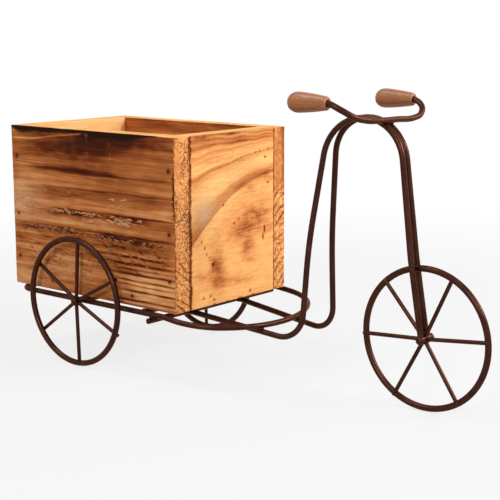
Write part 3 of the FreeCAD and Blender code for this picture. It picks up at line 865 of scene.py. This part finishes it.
# scatters one small lump on each marked point, turned to its facing and by up to spin about it
def scatterTree(name, buildShape, spin):
    tree, take = newTree(name, {"Radius": 0.002, "Depth": 0.002, "Rough": 0.1, "Seed": 1})
    facing = pointValue(tree, "facing", "FLOAT_VECTOR")
    turn = put(tree, "FunctionNodeAlignRotationToVector", {"Vector": facing}, axis="Z")[0]
    about = {"Min": (0, 0, -spin), "Max": (0, 0, spin), "Seed": take["Seed"]}
    about = put(tree, "FunctionNodeRandomValue", about, data_type="FLOAT_VECTOR")[0]
    both = {"Rotation": turn, "Rotate By": about}
    turn = put(tree, "FunctionNodeRotateRotation", both, rotation_space="LOCAL")[0]
    points = put(tree, "GeometryNodeMeshToPoints", {"Mesh": take["Geometry"]})[0]
    lumps = put(tree, "GeometryNodeInstanceOnPoints", {
        "Points": points, "Instance": buildShape(tree, take),
        "Rotation": turn, "Scale": pointValue(tree, "grow", "FLOAT")})[0]
    return endTree(tree, take, lumps)


def roughen(tree, take, shape, scale):
    rough = put(tree, "ShaderNodeTexNoise", {"Scale": scale, "Detail": 1.0})["Color"]
    centred = put(tree, "ShaderNodeVectorMath", {0: rough, 1: (0.5, 0.5, 0.5)}, operation="SUBTRACT")[0]
    push = sized(centred, times(take["Radius"], take["Rough"]))
    return put(tree, "GeometryNodeSetPosition", {"Geometry": shape, "Offset": push})[0]


def vector(tree, x, y, z):
    return put(tree, "ShaderNodeCombineXYZ", {0: x, 1: y, 2: z})[0]


def beadShape(tree, take):
    ball = put(tree, "GeometryNodeMeshIcoSphere", {"Radius": take["Radius"], "Subdivisions": 2})[0]
    flat = vector(tree, 1.0, 1.0, maths("DIVIDE", take["Depth"], take["Radius"]))
    pressed = put(tree, "GeometryNodeTransform", {"Geometry": ball, "Scale": flat})[0]
    return roughen(tree, take, pressed, 700.0)


def headShape(tree, take):
    feeds = {"Radius": take["Radius"], "Depth": take["Depth"],
             "Vertices": 20, "Side Segments": 3, "Fill Segments": 3}
    disc = put(tree, "GeometryNodeMeshCylinder", feeds, fill_type="TRIANGLE_FAN")[0]
    return roughen(tree, take, disc, 900.0)


# a lifted sliver: pointed at both ends, arched, its lower edge standing off the board
def sliverShape(tree, take):
    tall = times(take["Radius"], 0.38)
    size = vector(tree, times(take["Radius"], 2.0), tall, take["Depth"])
    feeds = {"Size": size, "Vertices X": 7, "Vertices Y": 3, "Vertices Z": 2}
    bar = put(tree, "GeometryNodeMeshCube", feeds)[0]
    x, y, z = put(tree, "ShaderNodeSeparateXYZ", {0: put(tree, "GeometryNodeInputPosition", {})[0]})
    share = maths("DIVIDE", x, take["Radius"])
    square = times(share, share)
    slim = minus(1.0, times(square, 0.8))
    thinY = times(y, slim)
    newY = minus(thinY, times(square, times(tall, 0.7)))
    newZ = minus(times(z, slim), times(thinY, 0.5))
    bent = put(tree, "GeometryNodeSetPosition", {"Geometry": bar, "Position": vector(tree, x, newY, newZ)})[0]
    return roughen(tree, take, bent, 500.0)


beadTree = scatterTree("weldBeads", beadShape, pi)
headTree = scatterTree("nailHeads", headShape, pi)
sliverTree = scatterTree("tornSlivers", sliverShape, 0.28)


# sets a tree's inputs from the piece's settings, takes the finished mesh and clears the guide away
def runTree(name, guide, tree, settings, material):
    modifier = guide.modifiers.new("make", "NODES")
    modifier.node_group = tree
    values = {**settings, "Material": material}
    for item in tree.interface.items_tree:
        if item.in_out == "INPUT" and item.name in values:
            modifier[item.identifier] = values[item.name]
    evaluated = guide.evaluated_get(bpy.context.evaluated_depsgraph_get())
    made = bpy.data.meshes.new_from_object(evaluated)
    guide.modifiers.remove(modifier)
    bpy.data.objects.remove(guide)
    made.name = name
    print("made", name, len(made.polygons), "faces")
    return addObject(name, made)


# spots: place, facing, growth and shade of each lump
def scatter(name, tree, spots, settings, material):
    places, facings, growth, shades = zip(*spots)
    mesh = bpy.data.meshes.new(name + "Points")
    mesh.from_pydata([tuple(place) for place in places], [], [])
    facing = mesh.attributes.new("facing", "FLOAT_VECTOR", "POINT")
    facing.data.foreach_set("vector", np.array([tuple(way) for way in facings], np.float32).ravel())
    addValues(mesh, "grow", growth)
    addValues(mesh, "shade", shades)
    return runTree(name, addObject(name + "Points", mesh), tree, settings, material)


def makeNails(name, node, side):
    s = nailSet
    low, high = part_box(name + "_side_board")
    outer = low.y if side < 0 else high.y
    placed = []
    for k, (x, z) in enumerate(nailSpots((high.x - low.x) / mm)):
        lean = Vector((s["lean"] * sin(5 * k), side, s["lean"] * cos(7 * k)))
        place = Vector((low.x + x * mm, outer - side * s["sink"] * mm, low.z + z * mm))
        placed.append((place, lean, 1.0, 0.5))
    piece = scatter(name + "NailHeads", headTree, placed, s, nailSteel)
    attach(piece, "stand")
    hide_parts(node)


makeNails("right", "right_side_nails", -1)
makeNails("left", "left_side_nails", 1)

# torn rows on the right side: lifted slivers of late wood
sliverSet = {
    "Radius": 2.7 * mm, "Depth": 0.3 * mm, "Rough": 0.3, "Seed": 6, "stand": 0.12, "margin": 1.2,
    "tones": [(0.2, (0.32, 0.10, 0.03)), (0.6, (0.52, 0.205, 0.075)), (1.0, (0.68, 0.37, 0.185))],
    "rough": 0.75, "specular": 0.1,
    "rows": [  # from, to, height, spread, count, growth, shade
        (30, 122, 76.6, 1.7, 44, 1.0, 0.66), (58, 118, 77.6, 0.9, 20, 1.15, 0.8),
        (97, 116, 71.4, 1.1, 9, 1.35, 0.86), (130, 158, 72.8, 1.5, 17, 1.6, 0.95),
        (134, 174, 77.2, 1.8, 22, 1.15, 0.76), (160, 178, 73.6, 1.2, 7, 0.9, 0.64),
        (0, 92, 60.4, 0.9, 44, 0.9, 0.55), (94, 205, 57.8, 1.9, 52, 1.0, 0.45),
        (30, 100, 57.4, 1.2, 18, 0.9, 0.5), (132, 162, 88.0, 1.2, 16, 0.95, 0.8),
        (136, 139, 93.6, 0.8, 3, 1.1, 0.9), (149, 154, 93.8, 0.8, 3, 1.1, 0.9),
        (40, 98, 94.4, 1.2, 12, 0.6, 0.62), (128, 200, 46.5, 3.0, 34, 0.8, 0.4),
        (124, 180, 37.0, 1.8, 22, 0.8, 0.4), (4, 60, 36.0, 7.0, 22, 0.6, 0.5),
        (0, 36, 77.0, 3.5, 16, 0.6, 0.7), (52, 126, 28.0, 9.0, 26, 0.6, 0.45),
    ],
}


def makeTornFibre(s):
    material, tree, shader, place = newMaterial("tornFibre")
    fibre = useGroup(tree, fibreGrain, {"Vector": place, "Size": 1.5, "Fleck": 0.2})
    hair = times(minus(fibre["Hair"], 0.5), 0.3)
    feed(shader, {
        "Base Color": ramp(plus(vertexValue(tree, "shade"), hair), s["tones"]),
        "Roughness": s["rough"],
        "Specular IOR Level": s["specular"],
    })
    return material


def makeSlivers(s):
    low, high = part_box("right_side_board")
    pick = np.random.default_rng(s["Seed"])
    spots = []
    for start, end, height, loose, count, growth, shade in s["rows"]:
        for u in np.sort(pick.uniform(start, end, count)):
            v = height + loose * pick.normal() * 0.6
            grow = growth * pick.uniform(0.6, 1.25)
            reach = s["margin"] + grow * s["Radius"] / mm   # a sliver ends on the board
            u = min(max(u, reach), (high.x - low.x) / mm - reach)
            place = Vector((low.x + u * mm, low.y + s["stand"] * mm, low.z + v * mm))
            facing = (0.25 * pick.normal(), -1.0, 0.3 * pick.normal())
            spots.append((place, facing, grow, shade * pick.uniform(0.75, 1.1)))
    piece = scatter("rightTornSlivers", sliverTree, spots, s, makeTornFibre(s))
    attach(piece, "stand")


makeSlivers(sliverSet)

# handlebar: one smooth bent rod swept along its line, both ends inside the grips
handlebarSet = {
    "Radius": 2.5 * mm, "Sides": 20, "Steps": 150,
    "line": [(98, -60.5, 249), (125, -60.5, 249), (135, -56.6, 244), (142, -49, 238.4), (144, -37, 235.5),
             (142.5, -15, 234), (141, 12, 233.4), (140, 38, 233.1), (138.4, 51, 236), (133.8, 58.4, 241.8),
             (125, 60.5, 246.4), (98, 60.5, 246.4)],
}


def rodTree(name):
    tree, take = newTree(name, {"Radius": 0.002, "Sides": 16, "Steps": 80})
    even = put(tree, "GeometryNodeResampleCurve", {"Curve": take["Geometry"], "Count": take["Steps"]})[0]
    feeds = {"Resolution": take["Sides"], "Radius": take["Radius"]}
    ring = put(tree, "GeometryNodeCurvePrimitiveCircle", feeds)[0]
    rod = put(tree, "GeometryNodeCurveToMesh", {"Curve": even, "Profile Curve": ring, "Fill Caps": True})[0]
    return endTree(tree, take, rod)


def makeHandlebar(name, node, s):
    curve = bpy.data.curves.new(name + "Line", "CURVE")
    curve.dimensions = "3D"
    spline = curve.splines.new("BEZIER")
    spline.bezier_points.add(len(s["line"]) - 1)
    for point, spot in zip(spline.bezier_points, s["line"]):
        point.co = Vector(spot) * mm
        point.handle_left_type = point.handle_right_type = "AUTO"
    spline.resolution_u = 16
    piece = runTree(name, addObject(name + "Line", curve), rodTree("bentRod"), s, bronzeCoat)
    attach(piece, "stand")
    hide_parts(node)


makeHandlebar("handlebarBent", "handlebar", handlebarSet)

# welds: small beads where rods meet, in millimetres
weldSet = {
    "Radius": 1.35 * mm, "Depth": 0.95 * mm, "Rough": 0.35, "Seed": 9,
    "rings": [  # place, axis and radius of each ring of beads on the stand, mirrored to its other side
        ((-139.25, 76.9, 59.5), "y", 2.3), ((-62.25, 76.9, 59.5), "y", 2.3),
        ((-139.25, 82.1, 60.0), "y", 2.2), ((-49.3, 79.5, 57.0), "z", 1.9),
        ((-46.9, 33.4, 54.5), "x", 2.2), ((30.0, 26.5, 49.85), "z", 1.9), ((140.4, 4.5, 232.0), "x", 1.8),
    ],
    "count": 8,
    "spokes": 6, "near": 2.5, "apart": 1.3,
    "ends": [(max, -1.4, 1.0, 0.55), (min, 1.2, 0.7, 0.0)],   # end, shift outward, growth, share to the rim
}


def beadRing(centre, axis, radius, count, pick):
    spots = []
    for k in range(count):
        angle = tau * (k + 0.3 * pick.uniform(-1, 1)) / count
        a, b = cos(angle), sin(angle)
        out = Vector({"x": (0, a, b), "y": (a, 0, b), "z": (a, b, 0)}[axis])
        spots.append(((Vector(centre) + radius * out) * mm, out, pick.uniform(0.75, 1.1), 0.5))
    return spots


# each spoke is tacked to its rim and hub at its two ends
def spokeTacks(wheel, s, pick):
    rimLow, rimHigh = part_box(wheel + "_rim")
    middle = (rimLow + rimHigh) / 2

    def outward(spot):   # from the wheel's axis, in its plane
        return Vector((spot.x - middle.x, 0, spot.z - middle.z))

    spots = []
    for number in range(1, s["spokes"] + 1):
        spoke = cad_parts["%s_spoke_%d" % (wheel, number)]
        corners = [spoke.matrix_world @ vertex.co for vertex in spoke.data.vertices]
        reach = [outward(corner).length for corner in corners]
        for farOrNear, shift, growth, toRim in s["ends"]:
            limit = farOrNear(reach)
            near = [corner for corner, r in zip(corners, reach) if abs(r - limit) < s["near"] * mm]
            end = sum(near, Vector()) / len(near)
            way = outward(end).normalized()
            spot = end + way * shift * mm + Vector((0, (middle.y - end.y) * toRim, 0))
            side = way.cross(Vector((0, 1, 0)))
            for apart in (-s["apart"], s["apart"]):
                spots.append((spot + side * apart * mm, side * apart, growth * pick.uniform(0.8, 1.05), 0.5))
    return spots


def makeWelds(s):
    pick = np.random.default_rng(s["Seed"])
    made = {"stand": []}
    for (x, y, z), axis, radius in s["rings"]:
        for side in (-1, 1):
            made["stand"] += beadRing((x, side * y, z), axis, radius, s["count"], pick)
    for wheel in ("right_rear", "left_rear", "front"):
        made[wheel + "_wheel"] = spokeTacks(wheel, s, pick)
    for body, spots in made.items():
        piece = scatter(body + "Welds", beadTree, spots, s, bronzeCoat)
        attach(piece, body)


makeWelds(weldSet)

# metal: every rod, rim, spoke, hub and axle keeps its solid and gets the coat
otherEnds = ("_board", "_grip", "_nails")
for nodeName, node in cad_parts.items():
    if not nodeName.endswith(otherEnds):
        node.data.materials.clear()
        node.data.materials.append(bronzeCoat)
print("rods and wheels coated")

# floor, backdrop and light
stageSet = {
    "floorSize": 12.0, "floorColour": (0.55, 0.55, 0.55), "floorDim": 0.985, "floorRough": 0.9,
    "nearWhite": 0.8, "fade": (0.35, 1.1), "skyLight": 0.14,
    "lamps": [  # name, place, aim, size, watts
        ("keyLamp", (1.45, 0.55, 0.95), (-0.02, 0.0, 0.13), 0.42, 20.0),
        ("leftLamp", (0.9, 1.3, 0.9), (0.0, 0.0, 0.15), 0.5, 11.0),
        ("sideLamp", (0.87, -1.6, 1.0), (-0.1, -0.07, 0.13), 0.26, 15.5),
        ("topLamp", (-0.5, -0.35, 1.55), (0.02, 0.0, 0.2), 0.5, 8.4),
        ("rearLamp", (-0.75, -1.1, 1.15), (0.08, 0.0, 0.2), 0.34, 2.6),
    ],
}


def seenRay(tree):
    path = put(tree, "ShaderNodeLightPath", {})
    seen = maths("MAXIMUM", path["Is Camera Ray"], path["Is Glossy Ray"])
    return maths("MAXIMUM", seen, path["Is Transmission Ray"])


def makeFloor(s):
    half = s["floorSize"] / 2
    mesh = bpy.data.meshes.new("floor")
    corners = [(-half, -half, 0), (half, -half, 0), (half, half, 0), (-half, half, 0)]
    mesh.from_pydata(corners, [], [(0, 1, 2, 3)])
    floor = addObject("floor", mesh)
    material, tree, shader, place = newMaterial("paleFloor")
    dim = tuple(s["floorDim"] * value for value in s["floorColour"])
    colour = ramp(clouds(place, 3.0, 2.0)[0], [(0.3, dim), (0.7, s["floorColour"])])
    feed(shader, {"Base Color": colour, "Roughness": s["floorRough"]})
    # the camera sees the floor fade to white, the object's light and shadow stay plain
    away = put(tree, "ShaderNodeVectorMath", {0: place}, operation="LENGTH")["Value"]
    white = times(spread(away, *s["fade"], s["nearWhite"], 1.0), seenRay(tree))
    glow = put(tree, "ShaderNodeEmission", {"Color": (1, 1, 1, 1), "Strength": 1.0})[0]
    blend = put(tree, "ShaderNodeMixShader", {0: white, 1: shader.outputs[0], 2: glow})[0]
    tree.links.new(blend, tree.nodes["Material Output"].inputs["Surface"])
    mesh.materials.append(material)


def makeSky(s):
    scene.world = bpy.data.worlds.new("studio")
    scene.world.use_nodes = True
    tree = scene.world.node_tree
    tree.nodes.clear()
    feeds = {"Value": seenRay(tree), "To Min": s["skyLight"], "To Max": 1.0}
    strength = put(tree, "ShaderNodeMapRange", feeds)[0]
    sky = put(tree, "ShaderNodeBackground", {"Color": (1, 1, 1, 1), "Strength": strength})[0]
    tree.links.new(sky, tree.nodes.new("ShaderNodeOutputWorld").inputs["Surface"])


def makeLamps(s):
    for name, spot, aim, size, watts in s["lamps"]:
        data = bpy.data.lights.new(name, "AREA")
        data.shape = "DISK"
        data.size = size
        data.energy = watts
        lamp = addObject(name, data)
        lamp.location = spot
        lamp.rotation_euler = (Vector(aim) - Vector(spot)).to_track_quat("-Z", "Y").to_euler()


makeFloor(stageSet)
makeSky(stageSet)
makeLamps(stageSet)
print("stage lit")
